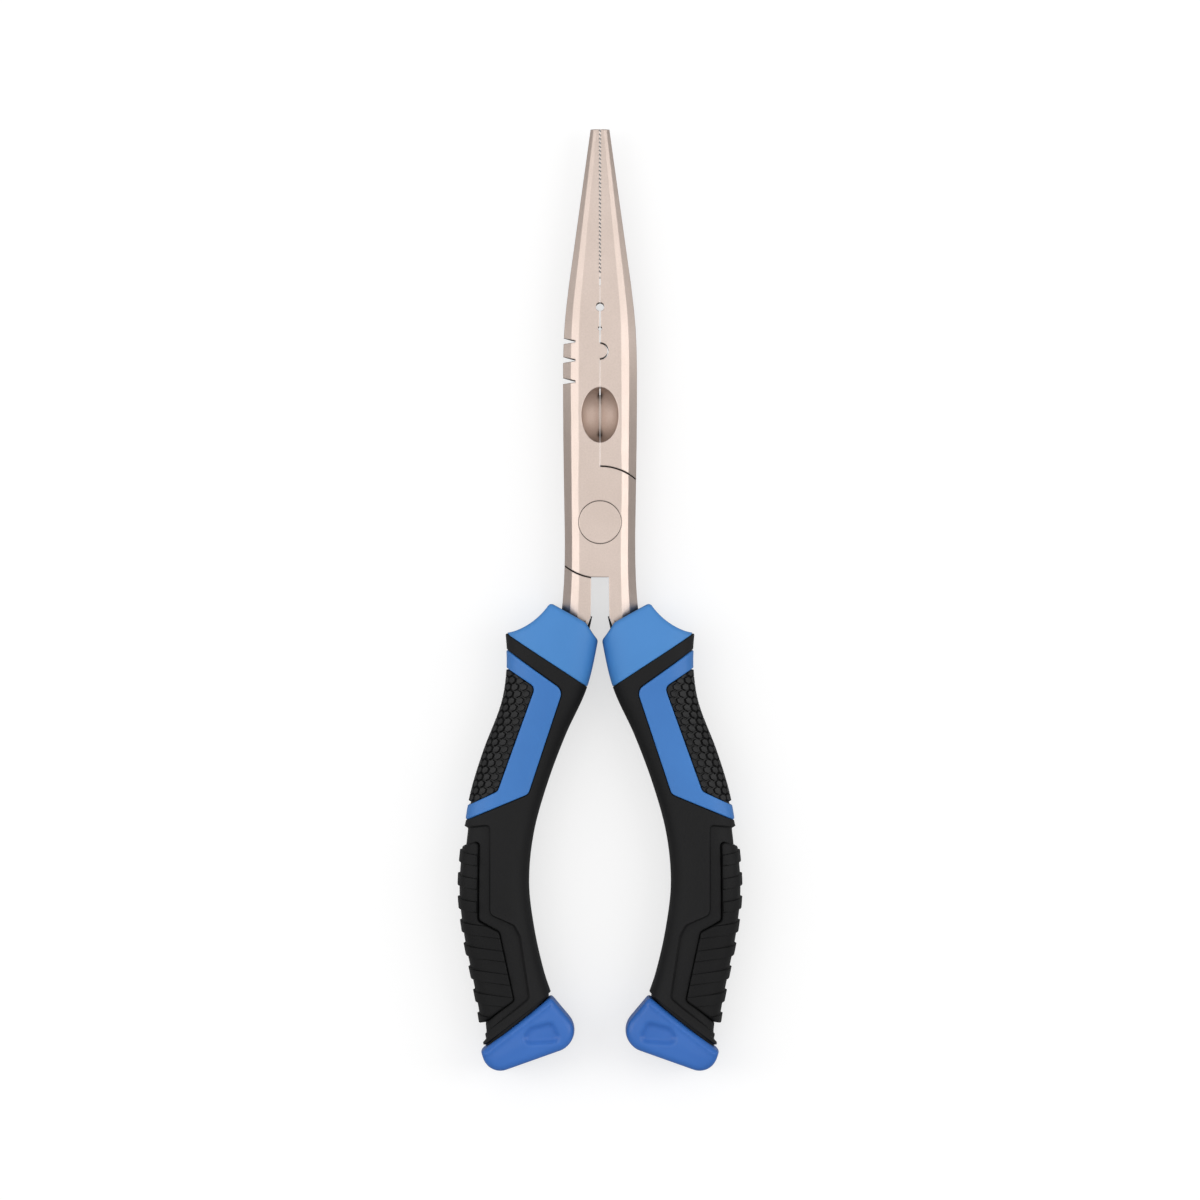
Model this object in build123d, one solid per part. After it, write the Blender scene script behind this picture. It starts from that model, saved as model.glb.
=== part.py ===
from build123d import *
from functools import cache
import os

# Fishing pliers, lying flat, with the jaws closed.
# Frame: the origin is the centre of the rivet's front head, flush with the joint's front face. +Z runs along
# the pivot, out of that face, +Y points to the jaw tips and +X to the right handle.
# Everything is modelled about the middle of the joint and moved to the origin at the end. The left lever and
# handle are the right ones turned half a turn about the Y axis there, so every outline below is given once,
# for the front lever or for the right handle.

# ---------------------------------------------------------------- driving dimensions, mm
JAW_LENGTH = 96.2           # pivot to jaw tips
TIP_HALF_THICKNESS = 1.75
JOINT_HALF_THICKNESS = 5.25
TAPER_START = 18.0          # the jaws get thinner from here to the tips
GRINDING_ALLOWANCE = 0.05   # the forging is this much proud of its ground faces
FIT_GAP = 0.05              # between pieces that are moulded or fixed together
REACH = 45.0                # longer than any half width, for cuts that run right across

# Closed steel blank: height, half width, width of the shoulders between the flats and the sides.
BLANK_STATIONS = (
    (JAW_LENGTH, 2.3, 1.5),
    (58.0, 7.62, 3.3),
    (52.0, 8.33, 3.5),
    (44.0, 8.9, 3.8),
    (32.0, 9.05, 3.9),
    (18.0, 8.95, 3.9),
    (0.0, 8.65, 3.6),
    (-12.0, 8.7, 3.7),
    (-20.0, 9.2, 4.0),
    (-32.0, 11.6, 4.0),
)

# The shoulder's shape, as shares of its width.
SHOULDER_BREAK = 0.5        # from the outermost point in to where it turns into the steep side
SHOULDER_DROP = 0.25        # how far below the flat it is there
SIDE_SHARE = 0.25           # the side stands upright up to this share of the half thickness

# Lap joint.
BOSS_RADIUS = 13.55         # round boss of one lever
SOCKET_RADIUS = 13.85       # hollow of the other lever that the boss turns in
BOSS_FLAT = 13.4            # flat on the boss at the top of the slot between the tangs
SLOT_HALF_WIDTH = 2.0
LAYER_HALF_GAP = 0.02       # each lever stays this far from the plane where they slide

# Pivot rivet.
RIVET_HEAD_RADIUS = 5.25
RIVET_HEAD_DEPTH = 2.0
RIVET_SHANK_RADIUS = 3.5
RIVET_EDGE_BREAK = 0.12
RIVET_RUNNING_GAP = 0.04    # in the lever that turns on it
RIVET_SET_GAP = 0.01        # in the lever that it's riveted to

# Jaw faces along the seam.
SEAM_HALF_GAP = 0.05
TOOTH_COUNT = 36
TOOTH_PITCH = 1.0
TOOTH_DEPTH = 0.3
TOOTH_HALF_MOUTH = 0.33
TOOTH_STAGGER = 0.1         # the two jaws' grooves are this far off level, each way
TOOTH_SKEW = 0.27           # rise of the grooves for each millimetre through the jaws
FIRST_TOOTH = 95.4
THROAT_TOP = 59.9           # small relief below the last tooth
THROAT_BOTTOM = 58.0
THROAT_HALF_GAP = 0.16
LARGE_HOLE_HEIGHT = 52.7
LARGE_HOLE_RADIUS = 1.05
SMALL_HOLE_HEIGHT = 47.4
SMALL_HOLE_RADIUS = 0.5
RELIEF_HALF_GAP = 0.17      # between the large hole and the crimper
CRIMP_HEIGHT = 41.85
CRIMP_LOBE_RADIUS = 1.8
CRIMP_HOLLOW_RADIUS = 2.1

# Wire cutter: an oval bowl sunk into both faces, down to a thin cutting land.
CUTTER_HEIGHT = 26.3
# Share of the depth, half width, half length.
CUTTER_LEVELS = (
    (0.0, 4.6, 6.85),
    (0.3, 4.2, 6.5),
    (0.6, 3.0, 5.9),
    (1.0, 0.25, 5.2),
)
CUTTER_LAND = 0.25          # half thickness of the cutting land
CUTTER_LIGHT_TOP = 32.9     # short open slot at the top of the cutting edges
CUTTER_LIGHT_LENGTH = 1.7
CUTTER_LIGHT_HALF_WIDTH = 0.16

# Wire-stripping notches in the front lever's outer edge: wedges that open outwards.
NOTCH_HEIGHTS = (44.2, 39.6, 34.4)
NOTCH_BOTTOM = -6.0
NOTCH_BOTTOM_HALF_WIDTH = 0.2
NOTCH_MOUTH = -12.0
NOTCH_RISE = 1.6            # the wedge's upper and lower side at the mouth, from its height
NOTCH_FALL = 0.9

# Right tang between the joint and the handle, in plan: it narrows to a blunt end just inside the guard.
NECK_SIDE_END = -21.0
NECK_OUTER_END = (11.0, -22.4)
NECK_INNER_END = (3.6, -26.4)
NECK_INNER_BEND = (2.3, -23.2)

# Tang inside the handle: height and position of its inner and outer edges.
TANG_HALF_THICKNESS = 3.0
TANG_MID_DISTANCE = 56.0    # about the middle of the tang's distance from the pivot
TANG_INNER = ((3.6, -25.4), (9.6, -40.0), (17.0, -60.0), (21.6, -80.0), (22.0, -98.0), (20.4, -110.0))
TANG_OUTER = ((25.6, -112.0), (28.4, -98.0), (28.2, -80.0), (23.8, -60.0), (16.6, -40.0), (7.9, -21.4))

# Grip body: height and distance of its inner and outer edges from the centre plane, half thickness.
GRIP_INNER = (
    (-17.0, -1.6),
    (-28.2, 0.35),
    (-40.5, 3.2),
    (-52.0, 8.4),
    (-64.0, 12.9),
    (-76.0, 16.2),
    (-88.0, 17.35),
    (-99.0, 16.15),
    (-110.0, 13.7),
    (-118.0, 11.0),
    (-135.0, 6.0),
)
GRIP_OUTER = (
    (-17.0, 24.5),
    (-28.2, 23.05),
    (-36.0, 22.8),
    (-44.4, 24.1),
    (-56.0, 28.5),
    (-67.0, 31.8),
    (-78.0, 33.5),
    (-90.0, 34.35),
    (-101.0, 33.2),
    (-112.0, 31.0),
    (-122.0, 29.2),
    (-135.0, 28.0),
)
GRIP_HALF_THICKNESS = (
    (-17.0, 6.8),
    (-28.0, 8.45),
    (-42.0, 7.7),
    (-64.0, 7.5),
    (-88.0, 8.0),
    (-106.0, 7.7),
    (-118.0, 7.9),
    (-135.0, 8.2),
)
GRIP_STATION_STEP = 7.0
GRIP_CORNER = 0.68          # corner radius of the section, as a share of its half thickness
REST_HALF_THICKNESS = 8.2   # flat lands of the guard and the cap, where the pliers rest
SKIN = 2.0                  # wall of the soft grip and the guard
INLAY = 1.3                 # depth of the side band, the hexagon pad and the rib pad
RIB_HEIGHT = 0.5
RIB_PITCH = 5.6
RIB_GROOVE = 1.1
FIRST_RIB_GROOVE = -84.9
RIB_GROOVES = 6
RIB_GROOVE_START = 20.0     # distance from the centre plane

# Outlines of the right handle's pieces, in plan.
GUARD_PEAK = (12.2, -19.5)
GUARD_INNER_SHOULDER = (3.1, -24.4)
GUARD_INNER_CORNER = (0.2, -28.4)
GUARD_INNER_FOOT = (3.4, -40.1)
GUARD_OUTER_CORNER = (23.3, -27.1)
GUARD_HOLLOW = (16.95, -24.2)
GUARD_LINE = ((-REACH, -71.7), (REACH, -12.9))   # where the guard ends and the soft grip starts
CORE_NOSE = ((1.9, -23.0), (3.0, -23.0), (6.5, -29.0), (3.2, -29.0))   # tongue of the core beside the tang
BAND_OUTLINE = ((REACH, -15.5), (9.0, -41.0), (17.4, -66.4), (REACH, -77.7))
HEX_OUTLINE = ((REACH, -21.0), (15.9, -40.3), (25.0, -65.6), (REACH, -75.1))
RIB_OUTLINE = (
    (29.8, -77.8),
    (REACH, -83.0),
    (REACH, -132.3),
    (28.8, -122.3),
    (21.0, -116.7),
    (24.6, -100.0),
    (30.0, -97.2),
)
BAND_CORNER = 2.2
HEX_CORNER = 1.5
RIB_CORNER = 0.8
CAP_LINE = ((-20.0, -90.3), (REACH, -141.1))   # where the soft grip ends and the cap starts
CAP_INNER_TOP = (12.0, -115.9)
CAP_INNER_CORNER = (3.0, -126.6)
CAP_OUTER_CORNER = (27.2, -135.2)
CAP_OUTER_TOP = (29.0, -129.2)
CAP_INNER_RADIUS = 5.0
CAP_OUTER_RADIUS = 4.4
CAP_ROUNDING = 1.6
CAP_SOCKET_DEPTH = 3.0
CAP_RECESS = ((19.2, -124.6), (13.4, -122.0), (10.9, -125.4), (18.8, -128.2))
CAP_RECESS_DEPTH = 0.5


# ---------------------------------------------------------------- helpers
def region(*points):
    """Flat face in plan from its corner points."""
    return make_face(Polyline(*points, close=True))


def prism(plan, low, high):
    """A plan outline stretched between two heights."""
    return Pos(0, 0, low) * extrude(plan, amount=high - low, dir=(0, 0, 1))


def through(plan):
    """A plan outline stretched through the whole thickness."""
    return prism(plan, -REACH, REACH)


def section_plane(x, y):
    """Plane across the pliers at height y, its own X along +X and its own Y along +Z."""
    return Plane(origin=(x, y, 0), x_dir=(1, 0, 0), z_dir=(0, -1, 0))


def value_at(curve, y):
    """Smooth value at height y of a curve of (height, value) points, listed from the top down."""
    last = len(curve) - 1

    def slope(index):
        before = curve[max(index - 1, 0)]
        after = curve[min(index + 1, last)]
        return (after[1] - before[1]) / (after[0] - before[0])

    index = 0
    while index < last - 1 and y < curve[index + 1][0]:
        index += 1
    start, end = curve[index], curve[index + 1]
    span = end[0] - start[0]
    t = (y - start[0]) / span
    blend = t * t * (3 - 2 * t)
    lead_in = t * (1 - t) ** 2 * span * slope(index)
    lead_out = t * t * (1 - t) * span * slope(index + 1)
    return start[1] + (end[1] - start[1]) * blend + lead_in - lead_out


def mirror_lever(shape):
    """Half a turn about the Y axis: a right handle's piece becomes the left handle's."""
    return Rot(0, 180, 0) * shape


# ---------------------------------------------------------------- steel
def blank_half_thickness(y):
    """Half thickness of the ground blank: level at the joint, then an even taper to the tips."""
    share = max(0.0, (y - TAPER_START) / (JAW_LENGTH - TAPER_START))
    return JOINT_HALF_THICKNESS + share * (TIP_HALF_THICKNESS - JOINT_HALF_THICKNESS)


def blank_section(half_width, half_thickness, shoulder):
    """Section of the forging: flats, sloping shoulders and steep sides that end upright."""
    quarter = [
        (half_width - shoulder, half_thickness),
        (half_width - SHOULDER_BREAK * shoulder, half_thickness - SHOULDER_DROP * shoulder),
        (half_width, half_thickness * SIDE_SHARE),
    ]
    right = quarter + [(x, -z) for x, z in reversed(quarter)]
    left = [(-x, -z) for x, z in right]
    return region(*right, *left)


def steel_blank(growth=0.0):
    """Both levers as one closed forging with sloping shoulders and ground flat faces."""
    sections = []
    for y, half_width, shoulder in BLANK_STATIONS:
        half_thickness = blank_half_thickness(y) + GRINDING_ALLOWANCE
        section = blank_section(half_width + growth, half_thickness + growth, shoulder)
        sections.append(section_plane(0, y) * section)
    jaws = loft(sections[:2], ruled=True)
    joint = loft(sections[1:])
    foot = BLANK_STATIONS[-1][0]
    side = Polyline(
        (foot, JOINT_HALF_THICKNESS + growth),
        (TAPER_START, JOINT_HALF_THICKNESS + growth),
        (JAW_LENGTH, TIP_HALF_THICKNESS + growth),
        (JAW_LENGTH, -TIP_HALF_THICKNESS - growth),
        (TAPER_START, -JOINT_HALF_THICKNESS - growth),
        (foot, -JOINT_HALF_THICKNESS - growth),
        close=True,
    )
    ground = extrude(Plane.YZ * make_face(side), amount=REACH, both=True)
    return (jaws + joint) & ground


def tang_neck(growth=0.0):
    """Plan of the right tang from the joint to just inside the guard."""
    outer_end = (NECK_OUTER_END[0] + growth, NECK_OUTER_END[1] - growth)
    inner_end = (NECK_INNER_END[0] - growth, NECK_INNER_END[1] - growth)
    inner_bend = (NECK_INNER_BEND[0] - growth, NECK_INNER_BEND[1] - growth)
    return region(
        (SLOT_HALF_WIDTH - growth, 0),
        (REACH, 0),
        (REACH, NECK_SIDE_END),
        outer_end,
        inner_end,
        inner_bend,
    )


def tang_tail(growth=0.0):
    """The flat part of the right tang, hidden in the handle."""
    stretch = 1 + growth / TANG_MID_DISTANCE
    inner = Spline(*[(x - growth, y * stretch) for x, y in TANG_INNER])
    outer = Spline(*[(x + growth, y * stretch) for x, y in TANG_OUTER])
    plan = make_face([inner, Line(inner @ 1, outer @ 0), outer, Line(outer @ 1, inner @ 0)])
    half_thickness = TANG_HALF_THICKNESS + growth
    return prism(plan, -half_thickness, half_thickness)


def tooth_grooves(side):
    """Skewed V grooves across the jaw face; the same side for both jaws makes them parallel when closed."""
    plan = Sketch()
    for tooth in range(TOOTH_COUNT):
        y = FIRST_TOOTH - tooth * TOOTH_PITCH + side * TOOTH_STAGGER
        plan += region((0, y - TOOTH_HALF_MOUTH), (0, y + TOOTH_HALF_MOUTH), (-TOOTH_DEPTH, y))
    return extrude(plan, amount=2 * JOINT_HALF_THICKNESS, dir=(0, side * TOOTH_SKEW, 1), both=True)


def seam_cuts(side):
    """Everything cut into both jaws along the seam; side is +1 for the front lever and -1 for the rear."""
    throat = region(
        (0, THROAT_BOTTOM),
        (0, THROAT_TOP),
        (-THROAT_HALF_GAP, THROAT_TOP),
        (-THROAT_HALF_GAP, THROAT_BOTTOM),
    )
    relief = region(
        (0, CRIMP_HEIGHT + CRIMP_HOLLOW_RADIUS),
        (0, LARGE_HOLE_HEIGHT),
        (-RELIEF_HALF_GAP, LARGE_HOLE_HEIGHT),
        (-RELIEF_HALF_GAP, CRIMP_HEIGHT + CRIMP_HOLLOW_RADIUS),
    )
    light = region(
        (0, CUTTER_LIGHT_TOP - CUTTER_LIGHT_LENGTH),
        (0, CUTTER_LIGHT_TOP),
        (-CUTTER_LIGHT_HALF_WIDTH, CUTTER_LIGHT_TOP),
        (-CUTTER_LIGHT_HALF_WIDTH, CUTTER_LIGHT_TOP - CUTTER_LIGHT_LENGTH),
    )
    holes = Pos(0, LARGE_HOLE_HEIGHT) * Circle(LARGE_HOLE_RADIUS)
    holes += Pos(0, SMALL_HOLE_HEIGHT) * Circle(SMALL_HOLE_RADIUS)
    return through(throat + relief + light + holes) + tooth_grooves(side)


def cutter_bowls():
    """The bowl on the front face and the same bowl on the rear face."""
    mouth = JOINT_HALF_THICKNESS + GRINDING_ALLOWANCE
    levels = []
    for depth_share, half_width, half_length in CUTTER_LEVELS:
        z = mouth + depth_share * (CUTTER_LAND - mouth)
        levels.append(Pos(0, CUTTER_HEIGHT, z) * Ellipse(half_width, half_length))
    front = loft(levels)
    return front + mirror_lever(front)


def rivet_hole(gap):
    """Hole for the rivet's shank and front head, as the front lever has it."""
    shank = Cylinder(RIVET_SHANK_RADIUS + gap, 4 * JOINT_HALF_THICKNESS)
    floor = JOINT_HALF_THICKNESS - RIVET_HEAD_DEPTH - gap
    head = prism(Circle(RIVET_HEAD_RADIUS + gap), floor, 2 * JOINT_HALF_THICKNESS)
    return shank + head


def lever(extra_plan, seam_side, rivet_gap):
    """One lever in the front lever's place: left jaw, front half of the joint, right tang."""
    jaw = region((-REACH, 0), (-SEAM_HALF_GAP, 0), (-SEAM_HALF_GAP, JAW_LENGTH), (-REACH, JAW_LENGTH))
    full = jaw + tang_neck() + extra_plan
    boss = Circle(BOSS_RADIUS) & region(
        (-REACH, -BOSS_FLAT),
        (REACH, -BOSS_FLAT),
        (REACH, REACH),
        (-REACH, REACH),
    )
    through_part = through(full - Circle(SOCKET_RADIUS))
    front_part = prism(full + boss, LAYER_HALF_GAP, REACH)
    body = steel_blank() & (through_part + front_part)
    body -= seam_cuts(seam_side)
    body -= cutter_bowls()
    body -= rivet_hole(rivet_gap)
    return body + tang_tail()


def front_lever():
    lobe = Pos(0, CRIMP_HEIGHT) * Circle(CRIMP_LOBE_RADIUS)
    body = lever(lobe, 1, RIVET_RUNNING_GAP)
    for y in NOTCH_HEIGHTS:
        notch = region(
            (NOTCH_MOUTH, y + NOTCH_RISE),
            (NOTCH_BOTTOM, y + NOTCH_BOTTOM_HALF_WIDTH),
            (NOTCH_BOTTOM, y - NOTCH_BOTTOM_HALF_WIDTH),
            (NOTCH_MOUTH, y - NOTCH_FALL),
        )
        body -= through(notch)
    return body


def rear_lever():
    body = lever(Sketch(), -1, RIVET_SET_GAP)
    body -= through(Pos(0, CRIMP_HEIGHT) * Circle(CRIMP_HOLLOW_RADIUS))
    return mirror_lever(body)


def pivot_rivet():
    shank = Cylinder(RIVET_SHANK_RADIUS, 2 * JOINT_HALF_THICKNESS)
    head_height = JOINT_HALF_THICKNESS - RIVET_HEAD_DEPTH / 2
    head = Pos(0, 0, head_height) * Cylinder(RIVET_HEAD_RADIUS, RIVET_HEAD_DEPTH)
    rivet = shank + head + mirror_lever(head)
    rims = [rivet.edges().sort_by(Axis.Z)[0], rivet.edges().sort_by(Axis.Z)[-1]]
    return chamfer(rims, RIVET_EDGE_BREAK)


# ---------------------------------------------------------------- right handle
@cache
def grip_form(inset):
    """The right handle's outer form, or the same form sunk by inset."""
    top = GRIP_INNER[0][0]
    bottom = GRIP_INNER[-1][0]
    count = round((top - bottom) / GRIP_STATION_STEP)
    sections = []
    for station in range(count + 1):
        y = top + (bottom - top) * station / count
        inner = value_at(GRIP_INNER, y) + inset
        outer = value_at(GRIP_OUTER, y) - inset
        half_thickness = value_at(GRIP_HALF_THICKNESS, y)
        corner = GRIP_CORNER * half_thickness - inset / 2
        section = RectangleRounded(outer - inner, 2 * (half_thickness - inset), corner)
        sections.append(section_plane((inner + outer) / 2, y) * section)
    flats = REST_HALF_THICKNESS - inset
    slab = Box(4 * REACH, 8 * REACH, 2 * flats)
    return loft(sections) & slab


def guard_plan():
    """Plan of the guard, with a hollow where the forefinger rests."""
    return make_face([
        Line(GUARD_PEAK, GUARD_INNER_SHOULDER),
        Line(GUARD_INNER_SHOULDER, GUARD_INNER_CORNER),
        Line(GUARD_INNER_CORNER, GUARD_INNER_FOOT),
        Line(GUARD_INNER_FOOT, GUARD_OUTER_CORNER),
        ThreePointArc(GUARD_OUTER_CORNER, GUARD_HOLLOW, GUARD_PEAK),
    ])


def below(line, shift=0.0):
    """Plan region below a sloping line through two points, moved down by shift."""
    (x0, y0), (x1, y1) = line
    return region((x0, y0 - shift), (x1, y1 - shift), (x1, -6 * REACH), (x0, -6 * REACH))


def grip_plan(gap):
    """Plan of the handle between the guard and the cap, kept off both by gap."""
    return below(GUARD_LINE, gap) - below(CAP_LINE, -gap)


def core_plan(gap=0.0):
    """Plan of the hard core: it starts inside the guard and ends in the cap's socket."""
    inside = offset(guard_plan() + below(GUARD_LINE), amount=gap - SKIN)
    (left, top), (right, _), *foot = CORE_NOSE
    nose = region((left - gap, top + 2 * gap), (right + gap, top + 2 * gap), *foot)
    return inside - below(CAP_LINE, CAP_SOCKET_DEPTH + gap) + nose


def tang_space():
    """Room for the right tang inside the handle."""
    neck = steel_blank(FIT_GAP) & through(tang_neck(FIT_GAP))
    return neck + tang_tail(FIT_GAP)


def inlay(outline, height=0.0):
    """A piece let into the grip's surface, the same on both faces, from its plan outline."""
    return (grip_form(-height) - grip_form(INLAY)) & through(outline)


def handle_pieces(tang_room):
    """The seven pieces of the right handle, by name."""
    form = grip_form(0)
    core_form = grip_form(SKIN)
    core_room = grip_form(SKIN - FIT_GAP) & through(core_plan(FIT_GAP))
    guard = (form & through(guard_plan())) - core_room - tang_room
    core = (core_form & through(core_plan())) - tang_room

    band_plan = rounded(region(*BAND_OUTLINE), BAND_CORNER)
    hex_plan = rounded(region(*HEX_OUTLINE), HEX_CORNER)
    rib_plan = rounded(region(*RIB_OUTLINE), RIB_CORNER)
    band = inlay(band_plan - offset(hex_plan, amount=FIT_GAP))
    hex_pad = inlay(hex_plan)
    rib_pad = inlay(rib_plan, RIB_HEIGHT) - rib_grooves()

    soft_grip = (form - grip_form(SKIN - FIT_GAP)) & through(grip_plan(FIT_GAP))
    windows = offset(band_plan, amount=FIT_GAP) + offset(rib_plan, amount=FIT_GAP)
    inlay_room = grip_form(-2 * RIB_HEIGHT) - grip_form(INLAY + FIT_GAP)
    soft_grip -= inlay_room & through(windows)

    return {
        "handle_core": core,
        "guard_collar": guard,
        "side_band": band,
        "hex_pad": hex_pad,
        "soft_grip": soft_grip,
        "rib_pad": rib_pad,
        "end_cap": end_cap(core_room),
    }


def rounded(plan, radius):
    """The same outline with its corners rounded, apart from those out beyond the handle."""
    corners = [corner for corner in plan.vertices() if corner.X < REACH - 1]
    return fillet(corners, radius)


def rib_grooves():
    """Grooves that cut the rib pad's edge into steps."""
    grooves = Part()
    for groove in range(RIB_GROOVES):
        top = FIRST_RIB_GROOVE - groove * RIB_PITCH + RIB_GROOVE / 2
        bottom = top - RIB_GROOVE
        plan = region((REACH, top), (REACH, bottom), (RIB_GROOVE_START, bottom), (RIB_GROOVE_START, top))
        grooves += through(plan)
    return grooves & (grip_form(-2 * RIB_HEIGHT) - grip_form(0))


def cap_plan():
    """Plan of the cap: a blunt wedge with one large and one smaller round corner."""
    plan = region(CAP_INNER_TOP, CAP_INNER_CORNER, CAP_OUTER_CORNER, CAP_OUTER_TOP)
    plan = fillet(plan.vertices().sort_by(Axis.X)[0], CAP_INNER_RADIUS)
    return fillet(plan.vertices().sort_by(Axis.Y)[0], CAP_OUTER_RADIUS)


def end_cap(core_room):
    """Flared cap with flat lands and a shallow recess on both faces."""
    block = prism(cap_plan(), -REST_HALF_THICKNESS, REST_HALF_THICKNESS)
    faces = block.faces().filter_by(Axis.Z)
    block = fillet(faces.edges(), CAP_ROUNDING)
    recess = prism(region(*CAP_RECESS), REST_HALF_THICKNESS - CAP_RECESS_DEPTH, REACH)
    return block - recess - mirror_z(recess) - core_room


def mirror_z(shape):
    """The same shape on the rear face."""
    return mirror(shape, about=Plane.XY)


# ---------------------------------------------------------------- write the pieces
def main():
    nodes = {
        "front_lever": front_lever(),
        "rear_lever": rear_lever(),
        "pivot_rivet": pivot_rivet(),
    }
    for name, piece in handle_pieces(tang_space()).items():
        nodes["right_" + name] = piece
        nodes["left_" + name] = mirror_lever(piece)
    os.makedirs("parts", exist_ok=True)
    for name, piece in nodes.items():
        placed = Pos(0, 0, -JOINT_HALF_THICKNESS) * piece
        export_step(placed, os.path.join("parts", name + ".step"))


main()
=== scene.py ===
import math

import bmesh
import bpy
import numpy as np
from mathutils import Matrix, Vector, geometry


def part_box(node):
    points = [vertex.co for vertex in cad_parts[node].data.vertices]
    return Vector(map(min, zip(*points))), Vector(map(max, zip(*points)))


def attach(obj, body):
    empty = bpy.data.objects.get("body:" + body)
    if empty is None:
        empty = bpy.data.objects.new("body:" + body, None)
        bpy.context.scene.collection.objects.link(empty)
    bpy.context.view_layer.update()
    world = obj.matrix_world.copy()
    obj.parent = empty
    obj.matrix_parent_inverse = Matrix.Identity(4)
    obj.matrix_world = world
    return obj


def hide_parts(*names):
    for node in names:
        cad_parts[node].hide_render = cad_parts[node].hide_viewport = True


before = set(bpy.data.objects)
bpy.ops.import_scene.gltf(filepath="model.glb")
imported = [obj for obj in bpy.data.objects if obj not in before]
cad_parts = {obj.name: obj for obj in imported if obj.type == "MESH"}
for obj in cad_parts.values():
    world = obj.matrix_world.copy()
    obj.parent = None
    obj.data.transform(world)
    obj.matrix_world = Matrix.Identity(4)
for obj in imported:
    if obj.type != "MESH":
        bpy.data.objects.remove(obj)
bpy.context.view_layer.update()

# Looks of the fishing pliers. Every shape below is worked out in millimetres, about the middle of the
# joint, for the right handle. The left handle is the same pieces turned half a turn about the Y axis, as in
# the CAD model.

MM = 0.001
MIDDLE_HEIGHT = sum(corner.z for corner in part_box("pivot_rivet")) / 2

# ---------------------------------------------------------------- the handle's form, mm
# Height (Y, from the top down) and the inner and outer edge's distance from the centre plane.
GRIP_INNER = (
    (-17.0, -1.6),
    (-28.2, 0.35),
    (-40.5, 3.2),
    (-52.0, 8.4),
    (-64.0, 12.9),
    (-76.0, 16.2),
    (-88.0, 17.35),
    (-99.0, 16.15),
    (-110.0, 13.7),
    (-118.0, 11.0),
    (-135.0, 6.0),
)
GRIP_OUTER = (
    (-17.0, 24.5),
    (-28.2, 23.05),
    (-36.0, 22.8),
    (-44.4, 24.1),
    (-56.0, 28.5),
    (-67.0, 31.8),
    (-78.0, 33.5),
    (-90.0, 34.35),
    (-101.0, 33.2),
    (-112.0, 31.0),
    (-122.0, 29.2),
    (-135.0, 28.0),
)
GRIP_HALF_THICKNESS = (
    (-17.0, 6.8),
    (-28.0, 8.15),
    (-42.0, 7.7),
    (-64.0, 7.5),
    (-88.0, 8.0),
    (-106.0, 7.7),
    (-118.0, 7.9),
    (-135.0, 8.15),
)
SQUARENESS = 2.9            # 2 is an ellipse; a higher number makes the section squarer
UNROLL_RADIUS = 8.5         # a section's angle times this is about its length along the skin
HALF_TURN = math.pi * UNROLL_RADIUS     # unrolled length from the outer edge to the inner edge

# Outlines in plan, with the radius of each corner. The guard, the band, the pads and the cap follow the CAD
# pieces. The recess, its foot and the cap's dimple are finer than in the CAD.
FAR = 45.0                  # well outside the handle, where an outline may run off its edge
GUARD_PEAK = (12.2, -19.5)
GUARD_INNER_SHOULDER = (3.1, -24.4)
GUARD_INNER_CORNER = (0.2, -28.4)
GUARD_OUTER_CORNER = (23.3, -27.1)
GUARD_HOLLOW = (16.9, -24.3)            # the lowest place of the curve between the peak and outer corner
GUARD_INNER_END = (-0.5, -30.5)
GUARD_CORNERS = (0, 0.9, 2.0, 1.0, 0)
GUARD_LINE = ((-FAR, -71.7), (FAR, -12.9))      # where the guard ends and the soft grip starts
CAP_LINE = ((-20.0, -90.3), (FAR, -141.1))      # where the soft grip ends
BAND_OUTLINE = ((FAR, -15.5), (9.0, -41.0), (17.4, -66.4), (FAR, -77.7))
BAND_CORNERS = (0, 2.4, 1.8, 0)
HEX_OUTLINE = ((FAR, -21.0), (15.9, -40.3), (25.0, -65.6), (FAR, -75.1))
HEX_CORNERS = (0, 1.6, 1.2, 0)
RIB_OUTLINE = (
    (FAR, -83.0),
    (29.8, -77.8),
    (30.0, -97.2),
    (24.6, -100.0),
    (21.0, -116.7),
    (28.8, -122.3),
    (FAR, -132.3),
)
RIB_CORNERS = (0, 0.8, 1.2, 1.2, 1.0, 1.2, 0)
RECESS_OUTLINE = (
    (FAR, -75.4),
    (26.7, -73.7),
    (26.7, -95.6),
    (20.8, -98.2),
    (19.3, -101.0),
    (17.0, -116.2),
    (20.4, -119.0),
    (28.8, -125.4),
    (FAR, -135.0),
)
RECESS_CORNERS = (0, 1.0, 1.6, 1.5, 1.5, 1.6, 1.5, 1.0, 0)
FOOT_OUTLINE = ((FAR, -117.0), (28.0, -122.6), (26.8, -125.2), (28.0, -127.0), (FAR, -136.0))
FOOT_CORNERS = (0, 0.8, 0.8, 0.5, 0)
CAP_OUTLINE = ((12.0, -115.9), (3.0, -126.6), (27.2, -135.2), (29.0, -129.2))
CAP_CORNERS = (0.8, 5.0, 4.4, 0.8)
CAP_DIMPLE = ((11.4, -121.3), (8.4, -127.2), (21.0, -128.0), (17.4, -122.9))
CAP_DIMPLE_CORNERS = (1.6, 2.0, 2.0, 1.6)
ARC_STEP = 0.25             # distance between the points of a rounded corner


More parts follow.
